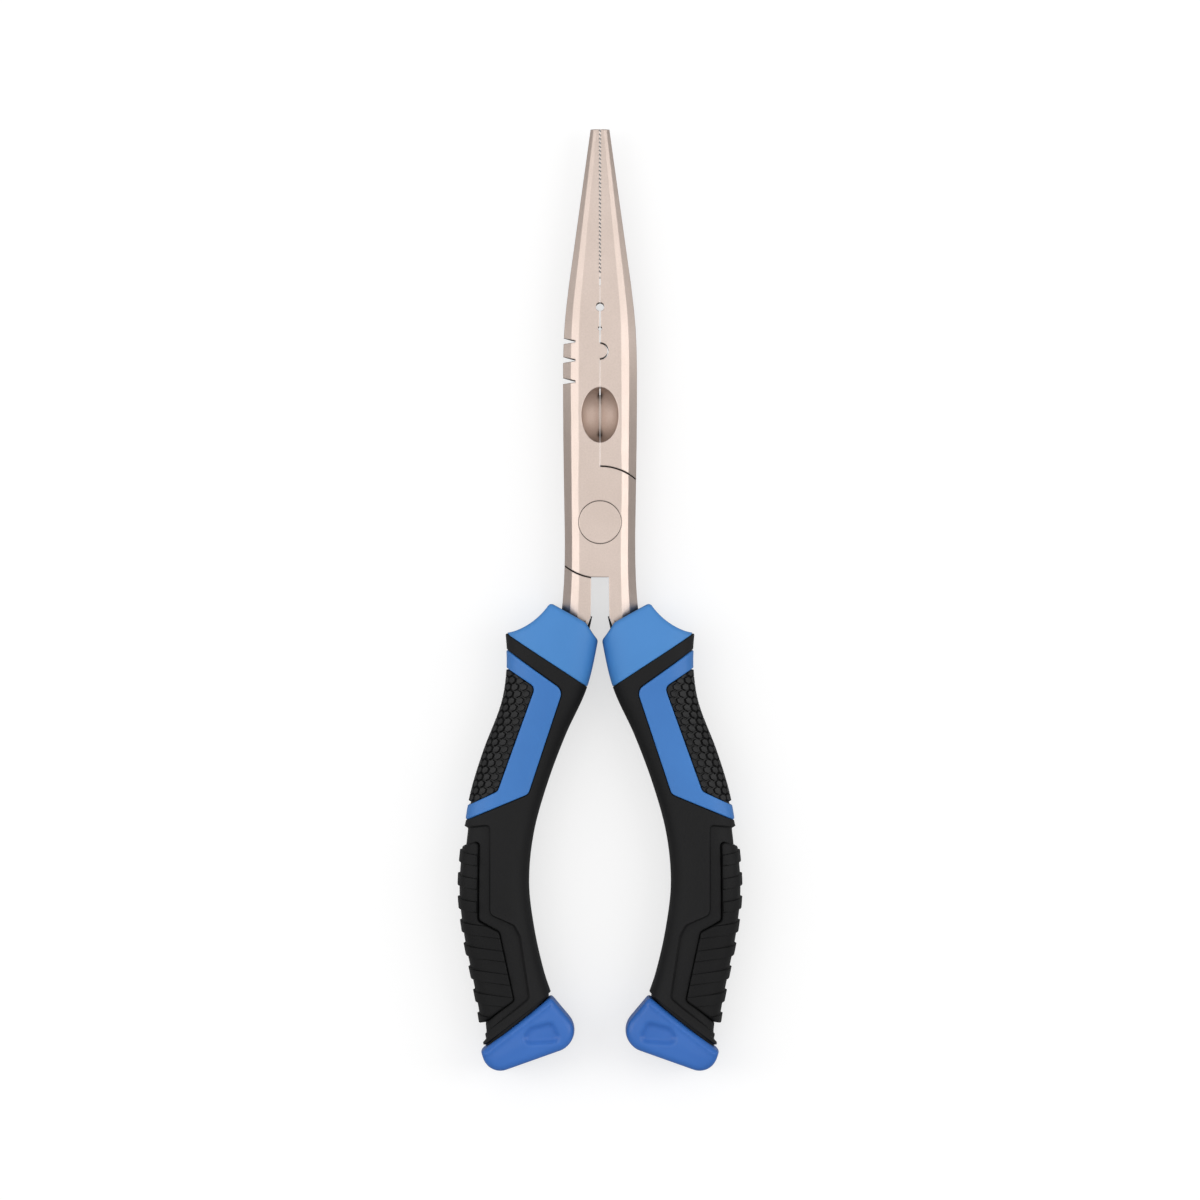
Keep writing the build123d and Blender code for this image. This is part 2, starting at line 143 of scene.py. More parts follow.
# ---------------------------------------------------------------- curves and outlines
def curve(points):
    """A smooth function of height through (height, value) points, as the CAD model has it."""
    heights = np.array([point[0] for point in points])[::-1]
    values = np.array([point[1] for point in points])[::-1]
    before = np.maximum(np.arange(len(heights)) - 1, 0)
    after = np.minimum(np.arange(len(heights)) + 1, len(heights) - 1)
    slopes = (values[after] - values[before]) / (heights[after] - heights[before])

    def at(y):
        index = np.clip(np.searchsorted(heights, y) - 1, 0, len(heights) - 2)
        span = heights[index + 1] - heights[index]
        t = np.clip((y - heights[index]) / span, 0, 1)
        blend = t * t * (3 - 2 * t)
        lead_in = t * (1 - t) ** 2 * span * slopes[index]
        lead_out = t * t * (1 - t) * span * slopes[index + 1]
        return values[index] + (values[index + 1] - values[index]) * blend + lead_in - lead_out

    return at


inner_edge = curve(GRIP_INNER)
outer_edge = curve(GRIP_OUTER)
half_thickness = curve(GRIP_HALF_THICKNESS)


def section(y):
    """Middle, half width and half thickness of the handle at height y."""
    inner, outer = inner_edge(y), outer_edge(y)
    return (inner + outer) / 2, (outer - inner) / 2, half_thickness(y)


def skin(flat):
    """Points on the handle's skin from unrolled points (length round the section, height)."""
    angle, y = flat[:, 0] / UNROLL_RADIUS, flat[:, 1]
    middle, half_width, half_depth = section(y)
    across, up = np.cos(angle), np.sin(angle)
    shape = np.abs(across / half_width) ** SQUARENESS + np.abs(up / half_depth) ** SQUARENESS
    radius = shape ** (-1 / SQUARENESS)
    return np.stack([middle + radius * across, y, radius * up], axis=1)


def skin_normals(flat):
    """Unit normals of the handle's skin, pointing outwards."""
    step = 0.02
    along = skin(flat + (0, step)) - skin(flat - (0, step))
    around = skin(flat + (step, 0)) - skin(flat - (step, 0))
    normals = np.cross(along, around)
    return normals / np.linalg.norm(normals, axis=1, keepdims=True)


def unroll(points):
    """Unrolled places on the front face of plan points (x, y)."""
    points = np.asarray(points, float)
    middle, half_width, half_depth = section(points[:, 1])
    across = np.clip((points[:, 0] - middle) / half_width, -1, 1)
    up = half_depth * (1 - np.abs(across) ** SQUARENESS) ** (1 / SQUARENESS)
    return np.stack([np.arctan2(up, across * half_width) * UNROLL_RADIUS, points[:, 1]], axis=1)


def rounded_path(corners, radii, closed=False):
    """A path of plan points through corners, each rounded to its radius; open ends stay as they are."""
    corners = [Vector(corner) for corner in corners]
    count = len(corners)
    path = []
    for index, corner in enumerate(corners):
        is_end = not closed and index in (0, count - 1)
        if is_end or radii[index] == 0:
            path.append(corner)
            continue
        to_last = (corners[index - 1] - corner).normalized()
        to_next = (corners[(index + 1) % count] - corner).normalized()
        half_angle = to_last.angle(to_next) / 2
        reach = radii[index] / math.tan(half_angle)
        centre = corner + (to_last + to_next).normalized() * radii[index] / math.sin(half_angle)
        start, end = corner + to_last * reach - centre, corner + to_next * reach - centre
        turn = start.angle_signed(end)
        steps = max(2, round(abs(turn) * radii[index] / ARC_STEP))
        for step in range(steps + 1):
            angle = -turn * step / steps
            spun = Vector((
                start.x * math.cos(angle) - start.y * math.sin(angle),
                start.x * math.sin(angle) + start.y * math.cos(angle),
            ))
            path.append(centre + spun)
    return np.array([tuple(point) for point in path])


def resample(path, step, closed=False):
    """The same path with points about step apart."""
    if closed:
        path = np.vstack([path, path[:1]])
    lengths = np.linalg.norm(np.diff(path, axis=0), axis=1)
    distance = np.concatenate([[0], np.cumsum(lengths)])
    count = max(2, round(distance[-1] / step)) + 1
    targets = np.linspace(0, distance[-1], count)
    points = np.stack([np.interp(targets, distance, path[:, axis]) for axis in (0, 1)], axis=1)
    return points[:-1] if closed else points


def wrap_loop(corners, radii, step):
    """Unrolled loop of a piece that runs round the outer edge, from its front outline in plan."""
    path = resample(rounded_path(corners, radii), step / 4)
    inside = path[path[:, 0] < outer_edge(path[:, 1])]
    front = resample(unroll(inside), step)
    front[0, 0] = front[-1, 0] = 0.0
    back = front[-2:0:-1] * (-1, 1)
    return np.vstack([front, back])


LINE_ROUNDS = 30            # enough rounds for the heights of a cut to settle


def line_across(line, step):
    """Unrolled points, from the back of the inner edge round to its front, of a straight cut in plan."""
    (x0, y0), (x1, y1) = line
    around = np.linspace(-HALF_TURN, HALF_TURN, 2 * round(HALF_TURN / step) + 1)
    heights = np.full(len(around), (y0 + y1) / 2)
    for _ in range(LINE_ROUNDS):
        x = skin(np.stack([around, heights], axis=1))[:, 0]
        heights = y0 + (y1 - y0) * (x - x0) / (x1 - x0)
    return np.stack([around, heights], axis=1)


# ---------------------------------------------------------------- flat geometry
def distance_to(points, loops):
    """Distance from each point to the nearest edge of the loops; each loop is an open or closed path."""
    best = np.full(len(points), np.inf)
    for loop in loops:
        starts, ends = loop[:-1], loop[1:]
        spans = ends - starts
        squared = np.maximum((spans ** 2).sum(axis=1), 1e-12)
        for low in range(0, len(points), 2000):
            part = points[low:low + 2000]
            offset = part[:, None, :] - starts[None]
            share = np.clip((offset * spans[None]).sum(axis=2) / squared[None], 0, 1)
            gap = np.linalg.norm(offset - share[..., None] * spans[None], axis=2).min(axis=1)
            best[low:low + 2000] = np.minimum(best[low:low + 2000], gap)
    return best


def is_inside(points, loop):
    """Whether each point is inside a closed loop."""
    inside = np.zeros(len(points), bool)
    x, y = points[:, 0], points[:, 1]
    for (x0, y0), (x1, y1) in zip(loop, np.roll(loop, -1, axis=0)):
        crosses = (y0 > y) != (y1 > y)
        if y0 != y1:
            inside ^= crosses & (x < x0 + (y - y0) * (x1 - x0) / (y1 - y0))
    return inside


def closed(loop):
    """The loop with its first point again at the end."""
    return np.vstack([loop, loop[:1]])


ROW_SHARE = 0.866           # height of an even triangle, for a side of 1


def lattice(loops, spacing, clearance):
    """Even triangular lattice of points inside the first loop and outside the others."""
    low, high = loops[0].min(axis=0), loops[0].max(axis=0)
    rows = []
    for row, y in enumerate(np.arange(low[1], high[1], spacing * ROW_SHARE)):
        x = np.arange(low[0] + (row % 2) * spacing / 2, high[0], spacing)
        rows.append(np.stack([x, np.full(len(x), y)], axis=1))
    points = np.vstack(rows)
    keep = is_inside(points, loops[0])
    for hole in loops[1:]:
        keep &= ~is_inside(points, hole)
    points = points[keep]
    return points[distance_to(points, [closed(loop) for loop in loops]) > clearance]


RING_CLEARANCE = 0.93       # a ring's point stays if it's this share of its depth from every edge


def edge_rings(loops, depths):
    """Points at set depths inside the loops, so that a rounded edge has rows to bend along."""
    rings = []
    edges = [closed(loop) for loop in loops]
    for loop in loops:
        ahead, behind = np.roll(loop, -1, axis=0), np.roll(loop, 1, axis=0)
        along = ahead - behind
        across = np.stack([-along[:, 1], along[:, 0]], axis=1)
        across /= np.linalg.norm(across, axis=1, keepdims=True)
        for depth in depths:
            for side in (-1, 1):
                ring = loop + side * across * depth
                keep = is_inside(ring, loops[0])
                for hole in loops[1:]:
                    keep &= ~is_inside(ring, hole)
                ring = ring[keep]
                rings.append(ring[distance_to(ring, edges) > depth * RING_CLEARANCE])
    return np.vstack(rings)


def triangulate(loops, points, inner_loops=()):
    """Points and triangles of the area inside the first loop and outside the other loops."""
    verts, edges = [], []
    for loop in [*loops, *inner_loops]:
        first = len(verts)
        verts.extend(loop)
        edges.extend((first + i, first + (i + 1) % len(loop)) for i in range(len(loop)))
    verts.extend(points)
    result = geometry.delaunay_2d_cdt([Vector(v) for v in verts], edges, [], 0, 1e-5)
    flat = np.array([tuple(v) for v in result[0]])
    triangles = np.array([tuple(face) for face in result[2]])
    middles = flat[triangles].mean(axis=1)
    keep = is_inside(middles, loops[0])
    for hole in loops[1:]:
        keep &= ~is_inside(middles, hole)
    return flat, triangles[keep]


def ease(share):
    """Smooth step from 0 to 1."""
    share = np.clip(share, 0, 1)
    return share * share * (3 - 2 * share)


ON_EDGE = 0.002             # depths under this count as on the edge
ROUNDING_ANGLES = (14, 28, 42, 56, 70, 84)


def round_over(depth_in, radius):
    """How far a rounded edge falls below its face, at a depth in from the edge."""
    rest = np.clip(1 - np.where(depth_in < ON_EDGE, 0, depth_in) / radius, 0, 1)
    return radius * (1 - np.sqrt(1 - rest * rest))


def ring_depths(radius):
    """Depths in from the edge of the rows that make a rounded edge look round."""
    return [radius * (1 - math.cos(math.radians(angle))) for angle in ROUNDING_ANGLES]


# ---------------------------------------------------------------- meshes
MERGE_DISTANCE = 1e-7       # metres
SLIVER_LENGTH = 1e-8        # metres
CORNER_ANGLE = 48           # an edge sharper than this stays a visible corner


def add_object(name, verts, faces):
    """New object from millimetre points, smooth apart from real corners."""
    mesh = bpy.data.meshes.new(name)
    places = np.asarray(verts) * MM + (0, 0, MIDDLE_HEIGHT)
    mesh.from_pydata([tuple(place) for place in places], [], [tuple(face) for face in faces])
    work = bmesh.new()
    work.from_mesh(mesh)
    bmesh.ops.remove_doubles(work, verts=work.verts, dist=MERGE_DISTANCE)
    bmesh.ops.dissolve_degenerate(work, edges=work.edges, dist=SLIVER_LENGTH)
    loose = [vert for vert in work.verts if not vert.link_faces]
    bmesh.ops.delete(work, geom=loose, context="VERTS")
    bmesh.ops.holes_fill(work, edges=work.edges, sides=0)
    bmesh.ops.recalc_face_normals(work, faces=work.faces)
    work.to_mesh(mesh)
    work.free()
    mesh.shade_smooth()
    mesh.set_sharp_from_angle(angle=math.radians(CORNER_ANGLE))
    obj = bpy.data.objects.new(name, mesh)
    bpy.context.scene.collection.objects.link(obj)
    return obj


def rim_edges(triangles):
    """Edges that belong to a single triangle, each in its triangle's direction."""
    edges = np.vstack([triangles[:, [0, 1]], triangles[:, [1, 2]], triangles[:, [2, 0]]])
    ordered = np.sort(edges, axis=1)
    _, first, counts = np.unique(ordered, axis=0, return_index=True, return_counts=True)
    return edges[first[counts == 1]]


SEAM_TOLERANCE = 1e-4       # how close to the inner edge counts as on it
EDGE_CLEARANCE = 0.45       # free space round the lattice's points, as shares of its spacing
INNER_CLEARANCE = 0.4
SEAM_CLEARANCE = 0.3


def shell(name, loops, spacing, radius, depth, relief=None, inner_loops=(), is_ring=False):
    """A moulded skin piece of even wall, its outline rounded over and its surface raised by relief."""
    edges = [closed(loop) for loop in loops]
    if is_ring:
        edges = open_ends(loops[0]) + edges[1:]
    points = lattice(loops, spacing, max(radius, spacing * EDGE_CLEARANCE))
    if len(inner_loops):
        to_inner = distance_to(points, [closed(loop) for loop in inner_loops])
        points = points[to_inner > spacing * INNER_CLEARANCE]
    rings = edge_rings(loops, ring_depths(radius))
    if is_ring:
        rings = rings[HALF_TURN - np.abs(rings[:, 0]) > spacing * SEAM_CLEARANCE]
    flat, triangles = triangulate(loops, np.vstack([points, rings]), inner_loops)
    falls = round_over(distance_to(flat, edges), radius)
    lift = relief(flat) if relief else np.zeros(len(flat))
    normals = skin_normals(flat)
    base = skin(flat)
    top = base + normals * (lift - falls)[:, None]
    bottom = base - normals * depth
    count = len(flat)
    rim = rim_edges(triangles)
    if is_ring:
        on_seam = is_on_seam(flat)
        rim = rim[~(on_seam[rim[:, 0]] & on_seam[rim[:, 1]])]
    walls = [(a, b, b + count, a + count) for a, b in rim]
    faces = [tuple(t) for t in triangles] + [tuple(t[::-1] + count) for t in triangles] + walls
    return add_object(name, np.vstack([top, bottom]), faces)


def is_on_seam(flat):
    """Whether each unrolled point lies where a ring's two ends meet, at the inner edge."""
    return np.abs(np.abs(flat[:, 0]) - HALF_TURN) < SEAM_TOLERANCE


def open_ends(loop):
    """The parts of a ring's loop that are real edges, without the cut along the inner edge."""
    on_seam = is_on_seam(loop)
    paths = []
    ring = closed(loop)
    path = [ring[0]]
    for index in range(1, len(ring)):
        is_cut = on_seam[index - 1] and on_seam[index % len(loop)]
        if is_cut:
            if len(path) > 1:
                paths.append(np.array(path))
            path = []
        path.append(ring[index])
    if len(path) > 1:
        paths.append(np.array(path))
    return paths


def ring_loop(top, bottom, step):
    """Loop of a piece that goes all the way round, from its top and bottom cuts (back to front)."""
    seam_x, seam_top = top[-1]
    seam_bottom = bottom[-1, 1]
    count = max(2, round((seam_top - seam_bottom) / step)) + 1
    heights = np.linspace(seam_top, seam_bottom, count)
    seam = np.stack([np.full(count, seam_x), heights], axis=1)[1:-1]
    return np.vstack([top, seam, bottom[::-1], seam[::-1] * (-1, 1)])


# ---------------------------------------------------------------- the right handle's pieces
# A piece's STEP is the distance between the points of its outline, and its SPACING that of its lattice.
EDGE = 0.32                 # rounding of the moulded pieces' edges
WALL = 1.3                  # how deep a skin piece goes
SPLIT = 0.07                # half of the gap between two pieces
GUARD_TOP_ROUNDING = 1.3
BAND_RISE = 0.12            # the side band stands this proud of the grip's skin
BAND_SPACING = 0.8
OUTLINE_STEP = 0.35
RIB_OUTLINE_STEP = 0.3
SLEEVE_STEP = 0.5
RECESS_OUTLINE_STEP = 0.4


def band_loop(growth):
    """Unrolled outer outline of the side band; growth moves it outwards."""
    loop = wrap_loop(BAND_OUTLINE, BAND_CORNERS, OUTLINE_STEP)
    return grow(loop, growth)


def hex_loop(growth):
    """Unrolled outline of the hexagon pad, which is also the band's inner outline."""
    loop = wrap_loop(HEX_OUTLINE, HEX_CORNERS, OUTLINE_STEP)
    return grow(loop, growth)


def rib_loop(growth):
    """Unrolled outline of the rib pad."""
    loop = wrap_loop(RIB_OUTLINE, RIB_CORNERS, RIB_OUTLINE_STEP)
    return grow(loop, growth)


def grow(loop, growth):
    """The loop moved outwards by growth, or inwards if it's negative."""
    along = np.roll(loop, -1, axis=0) - np.roll(loop, 1, axis=0)
    across = np.stack([along[:, 1], -along[:, 0]], axis=1)
    across /= np.linalg.norm(across, axis=1, keepdims=True)
    area = np.sum(loop[:, 0] * np.roll(loop[:, 1], -1) - np.roll(loop[:, 0], -1) * loop[:, 1])
    return loop + across * growth * np.sign(area)


def make_band():
    """Blue C-shaped panel round the outer edge, very slightly proud."""
    return shell("right_side_band", [band_loop(-SPLIT), hex_loop(SPLIT)], BAND_SPACING, EDGE, WALL,
                 relief=lambda flat: np.full(len(flat), BAND_RISE))


HEX_PITCH = 1.95
HEX_FOOT = 0.98             # corner radius of a boss at its foot
HEX_TOP = 0.78              # corner radius of a boss at its top
HEX_HEIGHT = 0.6
HEX_FLOOR = -0.45           # the pad's floor lies below the grip's skin
HEX_DISH = 0.12             # the bosses' tops are slightly hollow
HEX_CLEARANCE = 0.3         # the bosses' middles stay this far from the pad's outline
HEX_SPACING = 0.5
HEX_EDGE = 0.25


def hexagon(centre, radius):
    """Corners of a boss, radius from its centre."""
    angles = np.radians(np.arange(6) * 60 + 30)
    return centre + radius * np.stack([np.cos(angles), np.sin(angles)], axis=1)


def make_hex_pad():
    """Rubber pad with a raised hexagonal boss at every point of a triangular lattice."""
    outline = hex_loop(-SPLIT)
    centres = lattice([outline], HEX_PITCH, HEX_CLEARANCE)
    feet = [hexagon(centre, HEX_FOOT) for centre in centres]
    tops = [hexagon(centre, HEX_TOP) for centre in centres]

    def relief(flat):
        nearest = np.full(len(flat), np.inf)
        for centre in centres:
            nearest = np.minimum(nearest, hex_distance(flat - centre))
        rise = (HEX_FOOT - nearest) / (HEX_FOOT - HEX_TOP)
        dish = HEX_DISH * ease(1 - nearest / HEX_TOP)
        return HEX_FLOOR + HEX_HEIGHT * np.clip(rise, 0, 1) - dish

    return shell("right_hex_pad", [outline], HEX_SPACING, HEX_EDGE, WALL, relief, inner_loops=feet + tops)


def hex_distance(offset):
    """Corner radius of the hexagon, centred at the origin, that a point lies on."""
    reach = np.zeros(len(offset))
    for side in range(3):
        angle = math.radians(60 * side)
        reach = np.maximum(reach, np.abs(offset[:, 0] * math.cos(angle) + offset[:, 1] * math.sin(angle)))
    return reach / math.cos(math.radians(30))


RIB_PITCH = 5.7
RIB_COUNT = 8
RIB_TOP = -79.9             # the first rib's upper step
RIB_HEIGHT = 0.5
RIB_WIDTH = 2.8
RIB_STEP = 0.16             # width of a rib's steep side
RIB_LEAN = 0.14             # the ribs fall towards the inner edge
RIB_REACH = 16.0            # how far round the section the ribs go, each way
RIB_FLOOR = 0.05            # height of the pad between its ribs
RIB_FADE_START = 6.0        # from here round the section, the ribs fall to half their height
RIB_FADE_LENGTH = 8.0
RIB_POINTS = 81             # along a rib's edge
RIB_SPACING = 0.45
RIB_EDGE = 0.4
RIB_WALL = 2.1


def rib_band(rib, inset):
    """Unrolled outline of a rib's foot, or of its top when inset by the width of its steep side."""
    around = np.linspace(-RIB_REACH, RIB_REACH, RIB_POINTS)
    upper = RIB_TOP - rib * RIB_PITCH - RIB_LEAN * np.abs(around) - inset
    lower = upper - RIB_WIDTH + 2 * inset
    return np.vstack([np.stack([around, upper], axis=1), np.stack([around, lower], axis=1)[::-1]])


def make_rib_pad():
    """Rubber pad whose surface steps up and down in ribs, strongest at the outer edge."""
    outline = rib_loop(-SPLIT)

    def relief(flat):
        around = np.abs(flat[:, 0])
        down = RIB_TOP - flat[:, 1] - RIB_LEAN * around
        into = np.where(down < 0, -1, down % RIB_PITCH)
        rise = np.clip(np.minimum(into, RIB_WIDTH - into) / RIB_STEP, 0, 1)
        strength = 1 - 0.5 * ease((around - RIB_FADE_START) / RIB_FADE_LENGTH)
        return RIB_FLOOR + strength * RIB_HEIGHT * rise

    bands = [rib_band(rib, inset) for rib in range(RIB_COUNT) for inset in (0, RIB_STEP)]
    return shell("right_rib_pad", [outline], RIB_SPACING, RIB_EDGE, RIB_WALL, relief, inner_loops=bands)


RECESS_DEPTH = 0.85
RECESS_STEP = 0.4
FOOT_DEPTH = 0.8
NECK_DEPTH = 0.7            # the sleeve's last stretch is thinner, next to the cap
NECK_LENGTH = 0.9
SLEEVE_END = 0.45           # the sleeve ends this far past the cap line, just short of the cap
TONGUE_LENGTH = 0.8         # and its first stretch reaches under the guard's edge
TONGUE_START = 3.0          # but not near the outer edge: it grows from here round the section
TONGUE_GROWTH = 4.0
THIN_STEP = 0.15            # width of the step down to either
FOOT_STEP = 0.6
DEEPEST = 1.1               # where the foot crosses the recess, they go no deeper than this
BEAD_HEIGHT = 0.12          # soft bead along the recess
BEAD_WIDTH = 0.5


def thin_band(line, height):
    """Closed outline between an unrolled line round the handle and the same line moved by height."""
    return np.vstack([line, (line + (0, height))[::-1]])


def make_soft_grip():
    """Soft sleeve between the guard and the cap, open for the band and the rib pad."""
    tongue = line_across(GUARD_LINE, SLEEVE_STEP) - (0, SPLIT)
    top = tongue.copy()
    top[:, 1] += TONGUE_LENGTH * ease((np.abs(tongue[:, 0]) - TONGUE_START) / TONGUE_GROWTH)
    bottom = line_across(CAP_LINE, SLEEVE_STEP) - (0, SLEEVE_END)
    neck = bottom + (0, NECK_LENGTH)
    loop = ring_loop(top, bottom, SLEEVE_STEP)
    recess = wrap_loop(RECESS_OUTLINE, RECESS_CORNERS, RECESS_OUTLINE_STEP)
    foot = wrap_loop(FOOT_OUTLINE, FOOT_CORNERS, RECESS_OUTLINE_STEP)

    def relief(flat):
        rim = distance_to(flat, [closed(recess)])
        into = np.where(is_inside(flat, recess), rim, 0)
        step = np.where(is_inside(flat, foot), distance_to(flat, [closed(foot)]), 0)
        below_neck = flat[:, 1] < np.interp(flat[:, 0], neck[:, 0], neck[:, 1])
        into_neck = np.where(below_neck, distance_to(flat, [neck]), 0)
        above_tongue = flat[:, 1] > np.interp(flat[:, 0], tongue[:, 0], tongue[:, 1])
        into_tongue = np.where(above_tongue, distance_to(flat, [tongue]), 0)
        bead = BEAD_HEIGHT * np.exp(-(rim / BEAD_WIDTH) ** 2)
        sunk = RECESS_DEPTH * ease(into / RECESS_STEP) + FOOT_DEPTH * ease(step / FOOT_STEP)
        thinned = ease(into_neck / THIN_STEP) + ease(into_tongue / THIN_STEP)
        return bead - np.minimum(sunk, DEEPEST) - NECK_DEPTH * thinned

    steps = [recess, grow(recess, -RECESS_STEP / 2), grow(recess, -RECESS_STEP), foot]
    steps += [thin_band(neck, -THIN_STEP), thin_band(tongue, THIN_STEP)]
    return shell("right_soft_grip", [loop, band_loop(SPLIT), rib_loop(SPLIT)], SLEEVE_STEP, EDGE, WALL,
                 relief, inner_loops=steps, is_ring=True)


GUARD_CURVE_POINTS = 24
GUARD_CUT_STEP = 0.1
GUARD_SPACING = 0.7
GUARD_CLEARANCE = 0.4
GUARD_SEAM_CLEARANCE = 0.12
GUARD_WALL_ROWS = 9
SHARPER_SHARE = 0.7         # the top edge loses this share of its rounding at the outer corner
SHARPER_REACH = 4.0


def guard_top_path():
    """Plan points along the guard's top, from the outer corner over the peak to the inner corner."""
    outer, hollow, peak = Vector(GUARD_OUTER_CORNER), Vector(GUARD_HOLLOW), Vector(GUARD_PEAK)
    pull = hollow * 2 - (outer + peak) / 2
    hollow_part = []
    for t in np.linspace(0, 1, GUARD_CURVE_POINTS):
        hollow_part.append(outer * (1 - t) ** 2 + pull * 2 * t * (1 - t) + peak * t * t)
    corners = [hollow_part[-2], peak, GUARD_INNER_SHOULDER, GUARD_INNER_CORNER, GUARD_INNER_END]
    rest = rounded_path(corners, GUARD_CORNERS)
    return np.vstack([np.array([tuple(point) for point in hollow_part[:-2]]), rest])


def make_guard():
    """Finger guard: the handle's form cut off along the guard's top, closed there by a wall."""
    path = resample(guard_top_path(), GUARD_CUT_STEP)
    inside = (path[:, 0] < outer_edge(path[:, 1])) & (path[:, 0] > inner_edge(path[:, 1]))
    front = resample(unroll(path[inside]), OUTLINE_STEP)
    front[0, 0] = 0.0
    front[-1, 0] = HALF_TURN
    top = np.vstack([front[::-1] * (-1, 1), front[1:]])
    bottom = line_across(GUARD_LINE, OUTLINE_STEP) + (0, SPLIT)
    loop = ring_loop(top, bottom, OUTLINE_STEP)
    points = np.vstack([
        lattice([loop], GUARD_SPACING, GUARD_CLEARANCE),
        edge_rings([loop], ring_depths(GUARD_TOP_ROUNDING)),
    ])
    points = points[HALF_TURN - np.abs(points[:, 0]) > GUARD_SEAM_CLEARANCE]
    flat, triangles = triangulate([loop], points)
    falls = round_over(distance_to(flat, [top]), GUARD_TOP_ROUNDING) * guard_edge_share(flat)
    falls += round_over(distance_to(flat, [bottom]), EDGE)
    verts = skin(flat) - skin_normals(flat) * falls[:, None]
    faces = [tuple(t) for t in triangles]
    wall_verts, wall_faces = guard_wall(front, len(verts))
    return add_object("right_guard_collar", np.vstack([verts, wall_verts]), faces + wall_faces)


def guard_edge_share(flat):
    """The guard's top edge is rounded less towards its outer corner."""
    return 1 - SHARPER_SHARE * np.exp(-(flat[:, 0] / SHARPER_REACH) ** 2)


def guard_wall(front, first):
    """Wall that closes the guard's top, between its front rim and the same rim on the back."""
    falls = GUARD_TOP_ROUNDING * guard_edge_share(front)
    rim = skin(front) - skin_normals(front) * falls[:, None]
    verts = []
    for height in np.linspace(1, -1, GUARD_WALL_ROWS):
        row = rim.copy()
        row[:, 2] *= height
        verts.append(row)
    count = len(rim)
    faces = []
    for row in range(GUARD_WALL_ROWS - 1):
        for column in range(count - 1):
            corner = first + row * count + column
            faces.append((corner, corner + count, corner + count + 1, corner + 1))
    return np.vstack(verts), faces


CAP_HALF_THICKNESS = 8.2
CAP_ROUNDING = 1.7
CAP_DIMPLE_DEPTH = 1.1
CAP_DIMPLE_EDGE = 1.3       # width of the dimple's soft edge
CAP_LIP_WIDTH = 1.3         # raised lip along the cap's top edge
CAP_LIP_EDGE = 0.5
CAP_LIP_HEIGHT = 0.3
CAP_CROWN = 0.35            # the faces fall this much from their middle to their rim
CAP_CROWN_REACH = 6.0
CAP_STEP = 0.35
CAP_DIMPLE_STEP = 0.3
CAP_SPACING = 0.6
CAP_CLEARANCE = 0.35
CAP_SIDE_ROWS = (-0.9, -0.6, -0.3, 0, 0.3, 0.6, 0.9)    # shares of the half thickness
CAP_SIDE_BULGE = 0.22


def make_cap():
    """Flared end cap: a thick pad with well-rounded rims and a dimple on both faces."""
    outline = resample(rounded_path(CAP_OUTLINE, CAP_CORNERS, closed=True), CAP_STEP, closed=True)
    points = np.vstack([
        lattice([outline], CAP_SPACING, CAP_CLEARANCE),
        edge_rings([outline], ring_depths(CAP_ROUNDING)),
    ])
    flat, triangles = triangulate([outline], points)
    height = cap_height(flat, outline)
    count = len(flat)
    front = np.column_stack([flat, height])
    back = np.column_stack([flat, -height])
    faces = [tuple(t) for t in triangles] + [tuple(t[::-1] + count) for t in triangles]
    rim = rim_edges(triangles)
    verts = [front, back]
    faces += cap_side(rim, flat, height, verts)
    return add_object("right_end_cap", np.vstack(verts), faces)


def cap_height(flat, outline):
    """Height of the cap's front face above its middle plane, at plan points."""
    dimple = rounded_path(CAP_DIMPLE, CAP_DIMPLE_CORNERS, closed=True)
    dimple = resample(dimple, CAP_DIMPLE_STEP, closed=True)
    top_edge = np.array([CAP_OUTLINE[3], CAP_OUTLINE[0]])
    edge_gap = distance_to(flat, [closed(outline)])
    into_dimple = np.where(is_inside(flat, dimple), distance_to(flat, [closed(dimple)]), 0)
    past_lip = distance_to(flat, [top_edge]) - CAP_LIP_WIDTH
    fall = round_over(edge_gap, CAP_ROUNDING)
    fall += CAP_CROWN * (1 - ease(edge_gap / CAP_CROWN_REACH))
    fall += CAP_DIMPLE_DEPTH * ease(into_dimple / CAP_DIMPLE_EDGE)
    fall += CAP_LIP_HEIGHT * ease(past_lip / CAP_LIP_EDGE)
    return CAP_HALF_THICKNESS - fall


def cap_side(rim, flat, height, verts):
    """Faces of the cap's side wall, in rows that bulge a little; their points are added to verts."""
    centre = flat.mean(axis=0)
    count = len(flat)
    rim_points = np.unique(rim)
    place = {point: index for index, point in enumerate(rim_points)}
    first = 2 * count
    for row in CAP_SIDE_ROWS:
        outwards = flat[rim_points] - centre
        outwards /= np.linalg.norm(outwards, axis=1, keepdims=True)
        bulge = CAP_SIDE_BULGE * math.cos(row * math.pi / 2)
        verts.append(np.column_stack([flat[rim_points] + outwards * bulge, height[rim_points] * row]))
    levels = [lambda point: point + count]
    for index in range(len(CAP_SIDE_ROWS)):
        levels.append(lambda point, index=index: first + index * len(rim_points) + place[point])
    levels.append(lambda point: point)
    faces = []
    for low, high in zip(levels[:-1], levels[1:]):
        faces += [(high(a), low(a), low(b), high(b)) for a, b in rim]
    return faces


# ---------------------------------------------------------------- materials
def new_material(name):
    """Empty node material: returns it with its nodes, links and surface shader."""
    material = bpy.data.materials.new(name)
    material.use_nodes = True
    nodes, links = material.node_tree.nodes, material.node_tree.links
    return material, nodes, links, nodes["Principled BSDF"]


